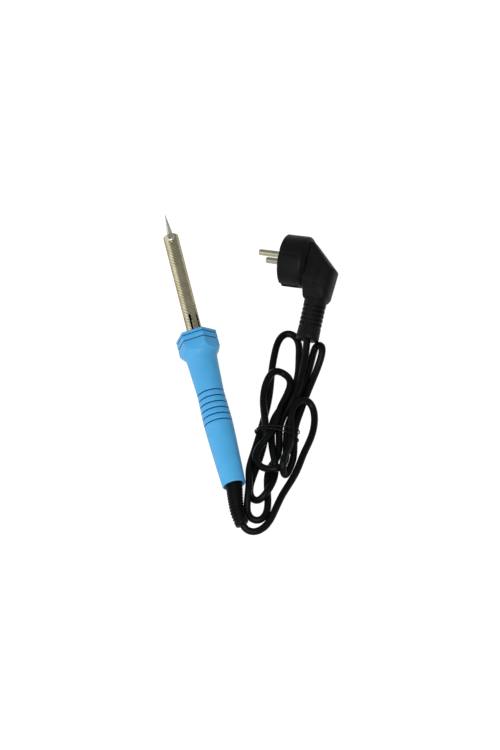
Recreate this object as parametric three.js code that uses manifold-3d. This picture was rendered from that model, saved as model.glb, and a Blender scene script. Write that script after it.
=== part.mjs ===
// A mains soldering iron lying on a bench, with its lead tied in a bundle and its plug beside it.
// Millimetres, +Z up. The iron's axis runs along +Y with the tip at +Y, and z = 0 is the bench.
// The iron is built along its own Y axis, from the rear rim of the handle (y = 0) to the tip,
// and is then rolled and tilted to rest on one corner of its hexagonal flange and on its rear rim.
import * as THREE from 'three';
import { mergeVertices } from 'three/addons/utils/BufferGeometryUtils.js';
import Module from 'manifold-3d';

const wasm = await Module();
wasm.setup();

// ---- driving dimensions ----

const GAP = 0.3; // clearance between neighbouring pieces
const CUT = 1; // how far a cutting solid runs past the face it cuts
const FINE = 36; // sides of a large round piece
const SMALL = 18; // sides of a small round piece

const HANDLE_LENGTH = 130;
const REAR_RADIUS = 9.15;
const REAR_ROUNDING = 0.8;
const SHELL_WALL = 1.3;
const RECESS_DEPTH = 5; // open recess at the rear rim
const CAVITY_RADIUS = 7.4; // space for the wiring
const GRIP_PROFILE = [[1.2, 9.2], [14, 9.85], [28, 10.45], [42, 11], [54, 11.35], [62, 11.15],
  [71, 10.85], [80, 10.65], [89, 11.05], [99, 11.6], [109, 12]]; // distance from the rim, radius

const RING_GROOVES = 6;
const FIRST_RING_GROOVE = 52.5;
const RING_GROOVE_PITCH = 5.2;
const RING_GROOVE_WIDTH = 1.8;
const RING_GROOVE_DEPTH = 0.8;

const FLANGE_RADIUS = 16.5; // to the corners of the hexagon
const FLANGE_FLAT = FLANGE_RADIUS * Math.cos(Math.PI / 6); // to its flats
const FLANGE_START = 113.5; // rear edge at the middle of a flat
const FLANGE_CORNER_START = 116.2; // rear edge at a corner, cut back by the chamfer
const FLANGE_GROOVES = [2.9, 7.6]; // distances behind the front face
const FLANGE_GROOVE_WIDTH = 1;
const FLANGE_GROOVE_DEPTH = 1;

const BARREL_RADIUS = 5.85;
const BARREL_WALL = 0.7;
const BARREL_REACH = 87.5; // length in front of the flange
const BARREL_START = 98; // rear end, inside the handle
const BARREL_END = HANDLE_LENGTH + BARREL_REACH;
const VENT_SLOTS = 6;
const VENT_WIDTH = 1.9;
const VENT_START = 119;
const VENT_END = 146;

const DISC_RADIUS = 11; // mounting disc sunk in the flange's front face
const DISC_THICKNESS = 1.2;
const DISC_SCREWS = 3;
const DISC_SCREW_CIRCLE = 8.5;

const TIP_RADIUS = 2.5;
const TIP_REACH = 19.3; // cone in front of the barrel
const TIP_SHANK_START = 165;
const TIP_POINT_RADIUS = 0.35;
const BUSH_LENGTH = 12;

const TIP_SCREW_SETBACK = 4.2; // behind the barrel's front face
const TIP_SCREW_TURN = 8; // degrees round the barrel from the flange's flat
const TIP_SCREW_HEAD_RADIUS = 2.9;
const TIP_SCREW_HEAD_HEIGHT = 2.1;
const TIP_SCREW_SHANK_RADIUS = 1.4;

const FORMER_INNER = 2.8;
const FORMER_OUTER = 3.55;
const FORMER_START = 163.5;
const FORMER_END = 204;
const WINDING_TURNS = 12;
const WINDING_WIRE = 0.25;
const WINDING_RADIUS = 4.1;

const LEAD_RADIUS = 0.45;
const LEAD_SPACING = 2.4; // each heater lead from the axis
const SLEEVE_OUTER = 1;
const CRIMP_START = 78;
const CRIMP_LENGTH = 13;
const CRIMP_RADIUS = 1.9;
const CRIMP_BORE = 1.35;
const CONDUCTOR_RADIUS = 1;

const CORD_RADIUS = 2.8;
const CORD_SIDES = 8;
const CORD_STEPS = 120;

const RELIEF_RIBS = 14;
const RELIEF_EXIT_RADIUS = 6.7;
const RELIEF_END_RADIUS = 5;
const RELIEF_LENGTH = 44;

const TIE_RADIUS = 0.5;

const PLUG_RADIUS = 19; // half the front's width in line with the pins
const PLUG_LONG_RADIUS = 20.5; // and half its width in line with the lead
const PLUG_SHIFT = 1.2; // front's middle from the pins' axis, towards the lead
const PLUG_DEPTH = 22;
const PIN_RADIUS = 2.4;
const PIN_LENGTH = 19;
const PIN_SPACING = 19;
const PLUG_ORIGIN = [83.2, 61.3, 18.6]; // middle of the face that carries the pins
const PLUG_TURN = [-13, 14, 151]; // degrees about X, Y and Z
const PLUG_RELIEF_SETBACK = 32; // lead's centre line behind the pin face
const PLUG_RELIEF_END = 63; // collar's end, from the pins' axis

// The iron rests on a flange corner and on the rear rim, rolled part-way round its axis.
const ROLL = THREE.MathUtils.degToRad(15);
const CORNER_DROP = FLANGE_RADIUS * Math.cos(Math.PI / 6 - ROLL);
const TILT = Math.atan2(CORNER_DROP - REAR_RADIUS, FLANGE_CORNER_START);
const IRON_LENGTH = BARREL_END + TIP_REACH;
// The origin is below the middle of the tilted iron, from the upper edge of its rim to its tip.
const RIM_OVERHANG = (REAR_RADIUS - REAR_ROUNDING) * Math.sin(TILT);
const RIM_PLACE = -(IRON_LENGTH * Math.cos(TILT) - RIM_OVERHANG) / 2;

// ---- shape helpers ----

// Geometry of a round piece about Y; the outline is [radius, y] and runs up the outside.
function turned(outline, sides) {
  return new THREE.LatheGeometry(outline.map(([r, y]) => new THREE.Vector2(r, y)), sides);
}

// A plain cylinder about Y as an outline that starts and ends on the axis.
function rod(radius, start, end, sides) {
  return turned([[0, start], [radius, start], [radius, end], [0, end]], sides);
}

// A tube about Y as a closed outline.
function sleeve(inner, outer, start, end, sides) {
  return turned([[inner, start], [outer, start], [outer, end], [inner, end], [inner, start]], sides);
}

// A flat outline of [x, z] points, extruded along Y from start to end.
function slab(outline, start, end) {
  const shape = new THREE.Shape(outline.map(([x, z]) => new THREE.Vector2(x, -z)));
  const geometry = new THREE.ExtrudeGeometry(shape, { depth: end - start, bevelEnabled: false });
  return geometry.rotateX(-Math.PI / 2).translate(0, start, 0);
}

function box(width, depth, height, x, y, z) {
  return new THREE.BoxGeometry(width, depth, height).translate(x, y, z);
}

// A round bar that follows a curve.
function bar(curve, radius, sides, steps) {
  const section = new THREE.Shape();
  for (let i = 0; i < sides; i++) {
    const angle = (2 * Math.PI * i) / sides;
    const x = radius * Math.cos(angle);
    const y = radius * Math.sin(angle);
    if (i === 0) section.moveTo(x, y);
    else section.lineTo(x, y);
  }
  section.closePath();
  return new THREE.ExtrudeGeometry(section, { extrudePath: curve, steps, bevelEnabled: false });
}

// A smooth line that its points pull along without quite being touched, as a stiff lead lies.
class EasedLine extends THREE.Curve {
  constructor(points) {
    super();
    const [first, second] = points;
    const [previous, last] = points.slice(-2);
    const beyond = (end, inner) => end.map((value, axis) => 2 * value - inner[axis]);
    this.points = [beyond(first, second), ...points, beyond(last, previous)]
      .map((point) => new THREE.Vector3(...point));
  }

  getPoint(t, target = new THREE.Vector3()) {
    const place = t * (this.points.length - 3);
    const i = Math.min(Math.floor(place), this.points.length - 4);
    const u = place - i;
    const pulls = [(1 - u) ** 3, 3 * u ** 3 - 6 * u ** 2 + 4, -3 * u ** 3 + 3 * u ** 2 + 3 * u + 1, u ** 3];
    target.set(0, 0, 0);
    pulls.forEach((pull, k) => target.addScaledVector(this.points[i + k], pull / 6));
    return target;
  }
}

function curveThrough(points) {
  return new THREE.CatmullRomCurve3(points.map((p) => new THREE.Vector3(...p)));
}

// A geometry as a solid that can be joined and cut.
function solid(geometry) {
  const bare = geometry.clone();
  bare.deleteAttribute('normal');
  bare.deleteAttribute('uv');
  const merged = mergeVertices(bare, 1e-4);
  return new wasm.Manifold(new wasm.Mesh({
    numProp: 3,
    vertProperties: new Float32Array(merged.attributes.position.array),
    triVerts: new Uint32Array(merged.index.array),
  }));
}

// A solid as a geometry again.
function skin(body) {
  const mesh = body.getMesh();
  const geometry = new THREE.BufferGeometry();
  geometry.setAttribute('position', new THREE.BufferAttribute(mesh.vertProperties, 3));
  geometry.setIndex(new THREE.BufferAttribute(mesh.triVerts, 1));
  geometry.computeVertexNormals();
  return geometry;
}

function cutAway(geometry, cutters) {
  return skin(cutters.reduce((body, cutter) => body.subtract(solid(cutter)), solid(geometry)));
}

// Bends a piece made along Y so that its axis follows a curve.
function bendAlong(geometry, curve, length) {
  const position = geometry.attributes.position;
  const up = new THREE.Vector3(0, 0, 1);
  for (let i = 0; i < position.count; i++) {
    const share = THREE.MathUtils.clamp(position.getY(i) / length, 0, 1);
    const along = curve.getTangentAt(share);
    const side = new THREE.Vector3().crossVectors(along, up).normalize();
    const top = new THREE.Vector3().crossVectors(side, along);
    const place = curve.getPointAt(share);
    place.addScaledVector(side, position.getX(i)).addScaledVector(top, position.getZ(i));
    position.setXYZ(i, place.x, place.y, place.z);
  }
  geometry.computeVertexNormals();
  return geometry;
}

// ---- materials ----

const finish = (color, roughness, metalness) => () => (
  new THREE.MeshStandardMaterial({ color, roughness, metalness })
);
const bluePlastic = finish(0x4f9ed2, 0.45, 0);
const blackRubber = finish(0x1b1d1d, 0.6, 0);
const blackPlastic = finish(0x232526, 0.5, 0);
const nickel = finish(0x8c8a80, 0.35, 1);
const steel = finish(0x9a9a98, 0.4, 1);
const ceramic = finish(0xe6e0d2, 0.7, 0);
const mica = finish(0xb9a06a, 0.5, 0);
const brass = finish(0xc4a65a, 0.35, 1);

function piece(name, geometry, material) {
  const mesh = new THREE.Mesh(geometry, material());
  mesh.name = name;
  return mesh;
}

// ---- handle ----

const HEXAGON = (radius) => Array.from({ length: 6 }, (_, i) => {
  const angle = (Math.PI / 3) * i;
  return [radius * Math.cos(angle), radius * Math.sin(angle)];
});

function gripOutline() {
  const curve = new THREE.SplineCurve(GRIP_PROFILE.map(([y, r]) => new THREE.Vector2(y, r)));
  const samples = curve.getPoints(120);
  const radiusAt = (y) => {
    const next = samples.findIndex((sample) => sample.x >= y);
    return samples[Math.max(next, 0)].y;
  };
  const outline = [[0, 0], [REAR_RADIUS - REAR_ROUNDING, 0], [REAR_RADIUS, REAR_ROUNDING]];
  for (let y = 10; y < FIRST_RING_GROOVE - 4; y += 10) outline.push([radiusAt(y), y]);
  for (let i = 0; i < RING_GROOVES; i++) {
    const y = FIRST_RING_GROOVE + i * RING_GROOVE_PITCH;
    outline.push([radiusAt(y - RING_GROOVE_WIDTH / 2), y - RING_GROOVE_WIDTH / 2]);
    outline.push([radiusAt(y) - RING_GROOVE_DEPTH, y]);
    outline.push([radiusAt(y + RING_GROOVE_WIDTH / 2), y + RING_GROOVE_WIDTH / 2]);
  }
  for (let y = 88; y < 110; y += 7) outline.push([radiusAt(y), y]);
  outline.push([12.3, FLANGE_START - 2], [13.2, FLANGE_START - 0.6], [13.2, FLANGE_START + 3]);
  outline.push([0, FLANGE_START + 3]);
  return outline;
}

function handleShell() {
  const core = slab(HEXAGON(FLANGE_RADIUS - FLANGE_GROOVE_DEPTH), FLANGE_START + 1, HANDLE_LENGTH);
  const slope = (FLANGE_RADIUS - FLANGE_FLAT) / (FLANGE_CORNER_START - FLANGE_START);
  const chamfer = turned([[0, FLANGE_START], [FLANGE_FLAT, FLANGE_START],
    [FLANGE_FLAT + 6 * slope, FLANGE_START + 6], [FLANGE_RADIUS + 3, HANDLE_LENGTH + CUT],
    [0, HANDLE_LENGTH + CUT]], 72);
  let flange = solid(core);
  const edges = [0, ...FLANGE_GROOVES.flatMap((y) => [
    y - FLANGE_GROOVE_WIDTH / 2, y + FLANGE_GROOVE_WIDTH / 2]), HANDLE_LENGTH - FLANGE_START];
  for (let i = 0; i < edges.length; i += 2) {
    const layer = slab(HEXAGON(FLANGE_RADIUS), HANDLE_LENGTH - edges[i + 1], HANDLE_LENGTH - edges[i]);
    flange = flange.add(solid(layer));
  }
  flange = flange.intersect(solid(chamfer));
  const webStart = RECESS_DEPTH + 5;
  const inside = turned([[0, -CUT], [REAR_RADIUS - SHELL_WALL, -CUT],
    [REAR_RADIUS - SHELL_WALL, RECESS_DEPTH], [6.6, RECESS_DEPTH], [6.6, webStart],
    [CAVITY_RADIUS, webStart + 3], [CAVITY_RADIUS, 112], [BARREL_RADIUS + GAP, 114],
    [BARREL_RADIUS + GAP, HANDLE_LENGTH - DISC_THICKNESS - GAP],
    [DISC_RADIUS + GAP, HANDLE_LENGTH - DISC_THICKNESS - GAP],
    [DISC_RADIUS + GAP, HANDLE_LENGTH + CUT], [0, HANDLE_LENGTH + CUT]], FINE);
  let body = solid(turned(gripOutline(), FINE)).add(flange).subtract(solid(inside));
  for (let i = 0; i < DISC_SCREWS; i++) {
    body = body.subtract(solid(rod(1.5, HANDLE_LENGTH - 9, HANDLE_LENGTH, SMALL)
      .translate(0, 0, DISC_SCREW_CIRCLE).rotateY((2 * Math.PI * i) / DISC_SCREWS)));
  }
  return piece('handle_shell', skin(body), bluePlastic);
}

// ---- barrel, its mounting and the tip ----

function barrelTube() {
  const tube = sleeve(BARREL_RADIUS - BARREL_WALL, BARREL_RADIUS, BARREL_START, BARREL_END, FINE);
  const cutters = [];
  for (let i = 0; i < VENT_SLOTS; i++) {
    const turn = (2 * Math.PI * i) / VENT_SLOTS;
    const length = VENT_END - VENT_START;
    const middle = (VENT_END + VENT_START) / 2;
    cutters.push(box(VENT_WIDTH, length, 3, 0, middle, BARREL_RADIUS).rotateY(turn));
    cutters.push(new THREE.CylinderGeometry(VENT_WIDTH / 2, VENT_WIDTH / 2, 3, 12)
      .rotateX(Math.PI / 2).translate(0, VENT_END, BARREL_RADIUS).rotateY(turn));
  }
  cutters.push(tipScrewHole(TIP_SCREW_SHANK_RADIUS + GAP));
  return piece('barrel_tube', cutAway(tube, cutters), nickel);
}

// A radial hole through the barrel's upper wall at the tip screw.
function tipScrewHole(radius) {
  return new THREE.CylinderGeometry(radius, radius, 8, SMALL).rotateX(Math.PI / 2)
    .translate(0, BARREL_END - TIP_SCREW_SETBACK, 6)
    .rotateY(THREE.MathUtils.degToRad(TIP_SCREW_TURN));
}

function tipBush() {
  const end = BARREL_END - 0.3;
  const ring = sleeve(TIP_RADIUS + GAP, BARREL_RADIUS - BARREL_WALL - GAP, end - BUSH_LENGTH, end, FINE);
  return piece('tip_bush', cutAway(ring, [tipScrewHole(TIP_SCREW_SHANK_RADIUS + GAP)]), steel);
}

// Pan-headed screw with a cross recess; it presses on the tip's shank through barrel and bush.
function tipScrew() {
  const head = BARREL_RADIUS + GAP;
  const shape = turned([[0, TIP_RADIUS + GAP], [TIP_SCREW_SHANK_RADIUS, TIP_RADIUS + GAP],
    [TIP_SCREW_SHANK_RADIUS, head], [TIP_SCREW_HEAD_RADIUS, head],
    [TIP_SCREW_HEAD_RADIUS, head + 1.2], [TIP_SCREW_HEAD_RADIUS - 0.7, head + 1.8],
    [1.2, head + TIP_SCREW_HEAD_HEIGHT], [0, head + TIP_SCREW_HEAD_HEIGHT]], SMALL);
  const top = head + TIP_SCREW_HEAD_HEIGHT;
  const recess = [box(0.7, 2, 3.4, 0, top, 0), box(3.4, 2, 0.7, 0, top, 0)];
  const mesh = piece('tip_screw', cutAway(shape, recess), steel);
  mesh.geometry.rotateX(Math.PI / 2).translate(0, BARREL_END - TIP_SCREW_SETBACK, 0)
    .rotateY(THREE.MathUtils.degToRad(TIP_SCREW_TURN));
  return mesh;
}

function tip() {
  const end = BARREL_END + TIP_REACH;
  return piece('tip', turned([[0, TIP_SHANK_START], [TIP_RADIUS - 0.4, TIP_SHANK_START],
    [TIP_RADIUS, TIP_SHANK_START + 1], [TIP_RADIUS, BARREL_END + 0.4],
    [TIP_POINT_RADIUS, end - 0.3], [0, end]], FINE), nickel);
}

function mountingDisc() {
  const start = HANDLE_LENGTH - DISC_THICKNESS;
  const disc = sleeve(BARREL_RADIUS + GAP, DISC_RADIUS, start, HANDLE_LENGTH, FINE);
  const holes = Array.from({ length: DISC_SCREWS }, (_, i) => (
    rod(1.5, start - CUT, HANDLE_LENGTH + CUT, SMALL).translate(0, 0, DISC_SCREW_CIRCLE)
      .rotateY((2 * Math.PI * i) / DISC_SCREWS)));
  return piece('mounting_disc', cutAway(disc, holes), steel);
}

function discScrew(i) {
  const seat = HANDLE_LENGTH + GAP;
  const shape = turned([[0, HANDLE_LENGTH - 8], [0.6, HANDLE_LENGTH - 8], [1.2, HANDLE_LENGTH - 7],
    [1.2, seat], [2.2, seat], [2.2, seat + 0.8], [1.5, seat + 1.3], [0, seat + 1.3]], SMALL);
  const slot = box(3.8, 1.4, 0.6, 0, seat + 1.4, 0);
  const mesh = piece(`disc_screw_${i + 1}`, cutAway(shape, [slot]), steel);
  mesh.geometry.translate(0, 0, DISC_SCREW_CIRCLE).rotateY((2 * Math.PI * i) / DISC_SCREWS);
  return mesh;
}

// ---- heater ----

// Resistance wire wound on the ceramic former.
class Helix extends THREE.Curve {
  getPoint(t, target = new THREE.Vector3()) {
    const angle = 2 * Math.PI * WINDING_TURNS * t;
    const length = FORMER_END - FORMER_START - 4;
    return target.set(WINDING_RADIUS * Math.cos(angle), FORMER_START + 2 + length * t,
      WINDING_RADIUS * Math.sin(angle));
  }
}

function heater() {
  const former = sleeve(FORMER_INNER, FORMER_OUTER, FORMER_START, FORMER_END, 24);
  const winding = bar(new Helix(), WINDING_WIRE, 4, WINDING_TURNS * 9);
  const outer = BARREL_RADIUS - BARREL_WALL - GAP;
  const wrap = sleeve(outer - 0.2, outer, FORMER_START, FORMER_END, FINE);
  return [
    piece('heater_former', former, ceramic),
    piece('heater_winding', winding, steel),
    piece('mica_wrap', wrap, mica),
  ];
}

function rearInsulator() {
  const plug = rod(BARREL_RADIUS - BARREL_WALL - GAP, 154, 160, 24);
  const holes = [-1, 1].map((side) => (
    rod(LEAD_RADIUS + GAP, 153, 161, 12).translate(side * LEAD_SPACING, 0, 0)));
  return piece('rear_insulator', cutAway(plug, holes), ceramic);
}

// ---- wiring inside the handle ----

function heaterCircuit(name, side) {
  const x = side * LEAD_SPACING;
  const crimpX = side * 3.2;
  const crimpEnd = CRIMP_START + CRIMP_LENGTH;
  const lead = curveThrough([[x, 162.8, 0], [x, 150, 0], [x, 120, 0], [crimpX, 100, 0],
    [crimpX, crimpEnd - 4, 0]]);
  const conductor = curveThrough([[crimpX, CRIMP_START + 4, 0], [crimpX, CRIMP_START - 8, 0],
    [side * 2.6, 52, 0.5], [side * 1.5, 38, 0.9], [side * 1.25, 31.4, 0.7]]);
  const insulation = sleeve(LEAD_RADIUS + GAP, SLEEVE_OUTER, 124, 152, 12).translate(x, 0, 0);
  const crimp = sleeve(CRIMP_BORE, CRIMP_RADIUS, CRIMP_START, crimpEnd, 12).translate(crimpX, 0, 0);
  return [
    piece(`heater_lead_${name}`, bar(lead, LEAD_RADIUS, 6, 12), nickel),
    piece(`lead_sleeve_${name}`, insulation, ceramic),
    piece(`crimp_${name}`, crimp, brass),
    piece(`${name}_conductor`, bar(conductor, CONDUCTOR_RADIUS, 8, 12), blackRubber),
  ];
}

function earthCircuit() {
  const band = sleeve(BARREL_RADIUS + GAP, BARREL_RADIUS + 0.9, 99, 104, FINE);
  const wire = curveThrough([[0, 97.4, -6.2], [0, 90, -6], [0, 66, -4.6], [0, 45, -2.4],
    [0, 31.4, -1.4]]);
  return [
    piece('earth_band', band, steel),
    piece('earth_conductor', bar(wire, 0.9, 8, 12), blackRubber),
  ];
}

// The jacketed end of the lead, held by a ferrule behind the web in the handle.
function leadEntry() {
  const jacket = rod(CORD_RADIUS, 9.4, 31, 16);
  const ferrule = sleeve(CORD_RADIUS + GAP, 5.8, 16, 22, 24);
  return [
    piece('lead_jacket_end', jacket, blackRubber),
    piece('lead_ferrule', ferrule, brass),
  ];
}

// ---- strain relief, lead and tie ----

const RELIEF_PATH = [[0, -109.7, 9.6], [0, -117.7, 9.2], [-1, -125, 8.9], [-2.1, -133, 8.3],
  [-2.6, -141, 7.4], [-2, -147, 6.7], [-1, -150.9, 6.3]];

// Points that pull the lead's centre line along, from the iron's strain relief to the plug.
const LEAD_ROUTE = [
  [-0.7, -151.6, 6.1], [0.4, -154.6, 5.2], [4, -157.5, 3.7], [10.5, -158, 3.2], [19, -153.5, 3.2],
  [27, -142.5, 3.5], [34.5, -131.5, 3.2], [43.5, -122.5, 3.2], [52, -112.5, 3.2], [58.5, -101, 3.2],
  [66.5, -91, 3.2], [73, -79.5, 3.2], [76, -66.5, 3.2], [74, -59, 6], [68.5, -57.5, 10.5],
  [60.5, -61, 10.5], [55.5, -71, 9], [53, -84.5, 8], [49, -96.5, 10], [43, -105.5, 16.5],
  [39.5, -112.5, 17.5], [39, -117.5, 12], [40.5, -117.5, 5.5], [44.5, -112.5, 3.2], [51, -103, 3.2],
  [54, -90, 3.2], [57.5, -77.5, 5.5], [64, -66.5, 3.2], [70.5, -55.5, 3.2], [77.5, -44.5, 3.2],
  [85, -34, 4.5], [92, -24, 10], [94.5, -16.5, 13], [90, -11, 5], [85.5, -19.5, 4], [79.5, -32, 3.2],
  [72.5, -42.5, 3.2], [65.5, -53, 3.2], [59.5, -64.5, 3.2], [52, -75, 5], [48.5, -87.5, 3.2],
  [45.5, -100.5, 3.2], [40.5, -111, 9.5], [33, -113.5, 12.5], [24, -108.5, 8.5], [20, -99.5, 8.5],
  [25.5, -89.5, 8.5], [37, -83, 11], [44, -73.5, 8.5], [49, -61, 8.5], [58, -51, 9], [64, -40, 7.5],
  [62.5, -31.5, 3.5], [57.5, -27.5, 5.5], [51.5, -28, 9.5], [44, -36, 7.5], [39, -48.5, 6.5],
  [37, -61.5, 9], [35.5, -74.5, 9], [31.5, -85.5, 3.5], [25.5, -96.5, 3.2], [18.5, -108, 3.2],
  [11.5, -119.5, 3.2], [10.5, -128, 3.2], [14.5, -133, 3.2], [20, -132.5, 8.5], [27.5, -125, 9],
  [33.5, -114.5, 3.2], [35.5, -106, 9], [35.5, -96.5, 8], [37.5, -84, 3.2], [40.5, -71, 5.5],
  [48, -60.5, 3.2], [58.5, -52.5, 3.2], [66.5, -42.5, 3.2], [72, -30.5, 3.2], [75, -18, 3.2],
  [78.5, -6, 3.2], [76, 3, 3.2], [69, 5.5, 3.2], [62, -0.5, 3.2], [56.5, -12.5, 3.2],
  [51.5, -25, 3.2], [48, -37, 3.2], [43.5, -49.5, 3.2], [38, -61, 3.2], [32, -72.5, 4],
  [26, -84, 3.2], [19.5, -95, 3.2], [14, -106.5, 7], [12, -119, 10], [7.5, -131, 7.5],
  [4.5, -140.5, 3.2], [7.5, -147.5, 3.2], [13.5, -149.5, 3.2], [20, -144.5, 3.2], [23.5, -133, 3.2],
  [25.5, -119, 3.2], [29.5, -107, 3.2], [39.5, -99.5, 3.2], [43, -88, 3.5], [45.5, -74.5, 5],
  [52.5, -64, 4], [61.5, -55.5, 8.5], [69.5, -45, 9], [74.5, -33, 7.5], [79.5, -21, 8.5],
  [83.5, -9.5, 12.5],
];

const TIE_PATH = [[27, -73.5, 3], [27.5, -73.8, 7], [30.5, -74.5, 12], [37, -76, 13.8],
  [45, -78.3, 13.8], [53, -80.5, 13.4], [59, -82, 11], [61.3, -82.7, 6], [60.5, -82.5, 1.5],
  [55, -81, 0.7], [44, -78, 0.7], [33, -75, 0.7]];

function strainRelief() {
  const start = 5.3;
  const outline = [[0, 0], [5.9, 0], [5.9, start]];
  const pitch = (RELIEF_LENGTH - start - 4) / RELIEF_RIBS;
  for (let i = 0; i < RELIEF_RIBS; i++) {
    const share = i / RELIEF_RIBS;
    const radius = THREE.MathUtils.lerp(RELIEF_EXIT_RADIUS, RELIEF_END_RADIUS, share);
    outline.push([radius, start + i * pitch + 0.1], [radius - 0.9, start + (i + 0.7) * pitch]);
  }
  outline.push([RELIEF_END_RADIUS + 0.3, RELIEF_LENGTH - 3.6]);
  outline.push([RELIEF_END_RADIUS + 0.3, RELIEF_LENGTH], [0, RELIEF_LENGTH]);
  const body = bendAlong(turned(outline, 16), curveThrough(RELIEF_PATH), RELIEF_LENGTH);
  return piece('strain_relief', body, blackRubber);
}

function lead() {
  return piece('lead', bar(new EasedLine(LEAD_ROUTE), CORD_RADIUS, CORD_SIDES, CORD_STEPS), blackRubber);
}

function tie() {
  return piece('lead_tie', bar(curveThrough(TIE_PATH), TIE_RADIUS, 6, 40), blackPlastic);
}

// ---- plug: +X points along the pins, +Y along the lead, and the pins lie one above the other ----

function plugBody() {
  const disc = turned([[0, -PLUG_DEPTH], [PLUG_RADIUS - 3, -PLUG_DEPTH], [PLUG_RADIUS, 3 - PLUG_DEPTH],
    [PLUG_RADIUS, -1], [PLUG_RADIUS - 1, 0], [0, 0]], FINE).rotateZ(-Math.PI / 2)
    .scale(1, PLUG_LONG_RADIUS / PLUG_RADIUS, 1).translate(0, PLUG_SHIFT, 0);
  const outline = [[-18, -14], [-23, -15], [-44, 6], [-42.5, 28], [-41, 31], [-23, 31],
    [-20, 17]];
  const shape = new THREE.Shape(outline.map(([x, y]) => new THREE.Vector2(x, y)));
  const hood = new THREE.ExtrudeGeometry(shape, {
    depth: 16, bevelEnabled: true, bevelThickness: 3, bevelSize: 0, bevelOffset: -3, bevelSegments: 2,
  }).translate(0, 0, -8);
  const ribs = [[0, 28], [8.6, 28]];
  for (let i = 0; i < 5; i++) {
    const y = 33 + i * 4.4;
    ribs.push([8.5, y], [6.9, y + 0.3], [6.9, y + 1.7], [8.4, y + 2]);
  }
  ribs.push([8.5, PLUG_RELIEF_END - 1], [7.5, PLUG_RELIEF_END], [0, PLUG_RELIEF_END]);
  const relief = turned(ribs, 24).scale(1, 1, 0.9).translate(-PLUG_RELIEF_SETBACK, 0, 0);
  const guides = [-1, 1].map((side) => box(18, 5, 3, -7, 0, side * PLUG_RADIUS));
  const clips = [-1, 1].map((side) => (
    box(18, 3, 7, -7, PLUG_SHIFT + side * PLUG_LONG_RADIUS, 0)));
  const pinHoles = [-1, 1].map((side) => (
    new THREE.CylinderGeometry(PIN_RADIUS + GAP, PIN_RADIUS + GAP, 16, SMALL)
      .rotateZ(Math.PI / 2).translate(-7.9, 0, (side * PIN_SPACING) / 2)));
  const socket = new THREE.CylinderGeometry(2.6, 2.6, 14, SMALL).rotateZ(Math.PI / 2)
    .translate(-6.9, -10, 0);
  let body = solid(disc).add(solid(hood)).add(solid(relief));
  for (const cutter of [...guides, ...clips, ...pinHoles, socket]) body = body.subtract(solid(cutter));
  return piece('plug_body', skin(body), blackPlastic);
}

function plugPin(name, side) {
  const pin = turned([[0, -15.5], [PIN_RADIUS, -15.5], [PIN_RADIUS, PIN_LENGTH - 1.6],
    [PIN_RADIUS - 0.6, PIN_LENGTH - 0.5], [0, PIN_LENGTH]], SMALL);
  pin.rotateZ(-Math.PI / 2).translate(0, 0, (side * PIN_SPACING) / 2);
  return piece(name, pin, nickel);
}

function earthClip(name, side) {
  const clip = box(14, 0.8, 4.4, -8, PLUG_SHIFT + side * (PLUG_LONG_RADIUS - 0.9), 0);
  return piece(name, clip, brass);
}

function plug() {
  const group = new THREE.Group();
  group.add(plugBody(), plugPin('plug_pin_1', 1), plugPin('plug_pin_2', -1));
  group.add(earthClip('earth_clip_1', 1), earthClip('earth_clip_2', -1));
  const [x, y, z] = PLUG_TURN.map(THREE.MathUtils.degToRad);
  group.rotation.set(x, y, z, 'ZYX');
  group.position.set(...PLUG_ORIGIN);
  return group;
}

// ---- assembly ----

function iron() {
  const rolled = new THREE.Group();
  rolled.add(handleShell(), barrelTube(), tipBush(), tipScrew(), tip(), mountingDisc());
  for (let i = 0; i < DISC_SCREWS; i++) rolled.add(discScrew(i));
  rolled.add(...heater(), rearInsulator(), ...heaterCircuit('live', 1));
  rolled.add(...heaterCircuit('neutral', -1), ...earthCircuit(), ...leadEntry());
  rolled.rotation.y = -ROLL;
  const placed = new THREE.Group();
  placed.add(rolled);
  placed.rotation.x = TILT;
  placed.position.set(0, RIM_PLACE, REAR_RADIUS);
  return placed;
}

const solderingIron = new THREE.Group();
solderingIron.add(iron(), strainRelief(), lead(), tie(), plug());

export default solderingIron;
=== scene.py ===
"""A mains soldering iron lying on a white floor, with its lead tied in a bundle and its plug beside it.

Shapes are written in millimetres in the iron's or the plug's own frame, and put in place in metres.
The iron's own Y axis runs from the rear rim of the handle (0) to the tip. The plug's own X axis runs
along its pins, its Y axis along its lead, and its pins lie one above the other along Z.
"""

from math import asin, atan2, cos, pi, radians, sin, sqrt, tan

import bmesh
import bpy
from mathutils import Euler, Matrix, Vector


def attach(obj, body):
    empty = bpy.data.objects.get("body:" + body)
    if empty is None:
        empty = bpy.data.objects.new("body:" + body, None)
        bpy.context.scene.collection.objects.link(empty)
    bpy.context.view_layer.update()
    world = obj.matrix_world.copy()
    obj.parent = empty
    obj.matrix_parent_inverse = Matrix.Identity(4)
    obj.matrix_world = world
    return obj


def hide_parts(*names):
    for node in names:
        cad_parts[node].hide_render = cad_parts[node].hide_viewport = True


MM = 0.001

# ---- floor, room, lamp and camera, in metres ----

FLOOR_HALF = 3
FLOOR_GREY = 0.32
FLOOR_GLOW = 0.82
ROOM_FADE = (-0.95, -0.5)  # across the room, from where its light starts to fade to where it stops
ROOM_LIGHT = (1.9, 0.42)  # strength before and after the fade
LAMP_PLACE = (-0.3, -1.0, 1.6)
LAMP_TARGET = (0.03, 0, 0)
LAMP_SIZE = 1.2
LAMP_POWER = 38
CAMERA_TARGET = (0.0347, -0.0239, 0.0025)
CAMERA_VIEW = (0.1074, 0.4570, -0.8830)
CAMERA_DISTANCE = 6.0
CAMERA_LENS = 371.625  # millimetres

# ---- where the iron and its plug lie, as in the CAD ----

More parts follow.
